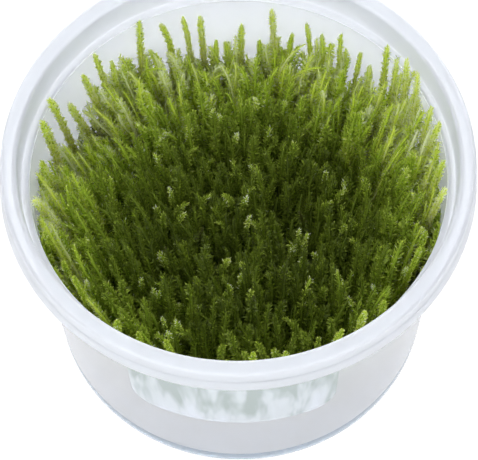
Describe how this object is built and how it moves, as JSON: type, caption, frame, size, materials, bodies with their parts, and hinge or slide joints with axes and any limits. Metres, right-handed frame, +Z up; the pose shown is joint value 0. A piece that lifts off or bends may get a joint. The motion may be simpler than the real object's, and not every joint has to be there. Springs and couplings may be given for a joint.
{
  "type": "spiky moss in tissue culture cup",
  "caption": "Dense upright stand of feathery green aquarium moss on clear nutrient gel, filling a round frosted plastic cup with a wide flanged mouth and no lid.",
  "frame": {"origin": "centre of the cup's foot ring, on the surface it stands on", "axes": "+Z up along the cup's axis, -Y towards the side with the blank label, +X to the right seen from there"},
  "size_m": [0.101, 0.101, 0.065],
  "materials": {
    "frosted_polypropylene": "injection-moulded, milky and frosted, faintly blue, lets light through",
    "agar_gel": "set clear gel, smooth and wet, slightly grey",
    "moss_thatch": "matted stems and old leaves, matt, brownish dark green",
    "moss_green_dark": "crowded leafy shoots, matt, dark green between the tips",
    "moss_green_bright": "leafy shoots in the light, matt to silky, yellow-green with pale tips",
    "white_film": "thin translucent white film, satin, bare"
  },
  "bodies": {
    "root": {"cup": "frosted_polypropylene", "nutrient_gel": "agar_gel", "moss_mat": "moss_thatch", "moss_crown": "moss_green_dark", "blank_label": "white_film", "shoot_01": "moss_green_bright", "shoot_02": "moss_green_bright", "shoot_03": "moss_green_bright", "shoot_04": "moss_green_bright", "shoot_05": "moss_green_bright", "shoot_06": "moss_green_bright", "shoot_07": "moss_green_bright", "shoot_08": "moss_green_bright", "shoot_09": "moss_green_bright", "shoot_10": "moss_green_bright", "shoot_11": "moss_green_bright", "shoot_12": "moss_green_bright", "shoot_13": "moss_green_bright", "shoot_14": "moss_green_bright", "shoot_15": "moss_green_bright", "shoot_16": "moss_green_bright", "shoot_17": "moss_green_bright", "shoot_18": "moss_green_bright", "shoot_19": "moss_green_bright", "shoot_20": "moss_green_bright", "shoot_21": "moss_green_bright", "shoot_22": "moss_green_bright", "shoot_23": "moss_green_bright", "shoot_24": "moss_green_bright", "shoot_25": "moss_green_bright", "shoot_26": "moss_green_bright", "shoot_27": "moss_green_bright", "shoot_28": "moss_green_bright", "shoot_29": "moss_green_bright", "shoot_30": "moss_green_bright", "shoot_31": "moss_green_bright", "shoot_32": "moss_green_bright", "shoot_33": "moss_green_bright", "shoot_34": "moss_green_bright", "shoot_35": "moss_green_bright", "shoot_36": "moss_green_bright", "shoot_37": "moss_green_bright", "shoot_38": "moss_green_bright", "shoot_39": "moss_green_bright", "shoot_40": "moss_green_bright", "shoot_41": "moss_green_bright", "shoot_42": "moss_green_bright", "shoot_43": "moss_green_bright", "shoot_44": "moss_green_bright", "shoot_45": "moss_green_bright", "shoot_46": "moss_green_bright", "shoot_47": "moss_green_bright", "shoot_48": "moss_green_bright"}
  },
  "joints": []
}
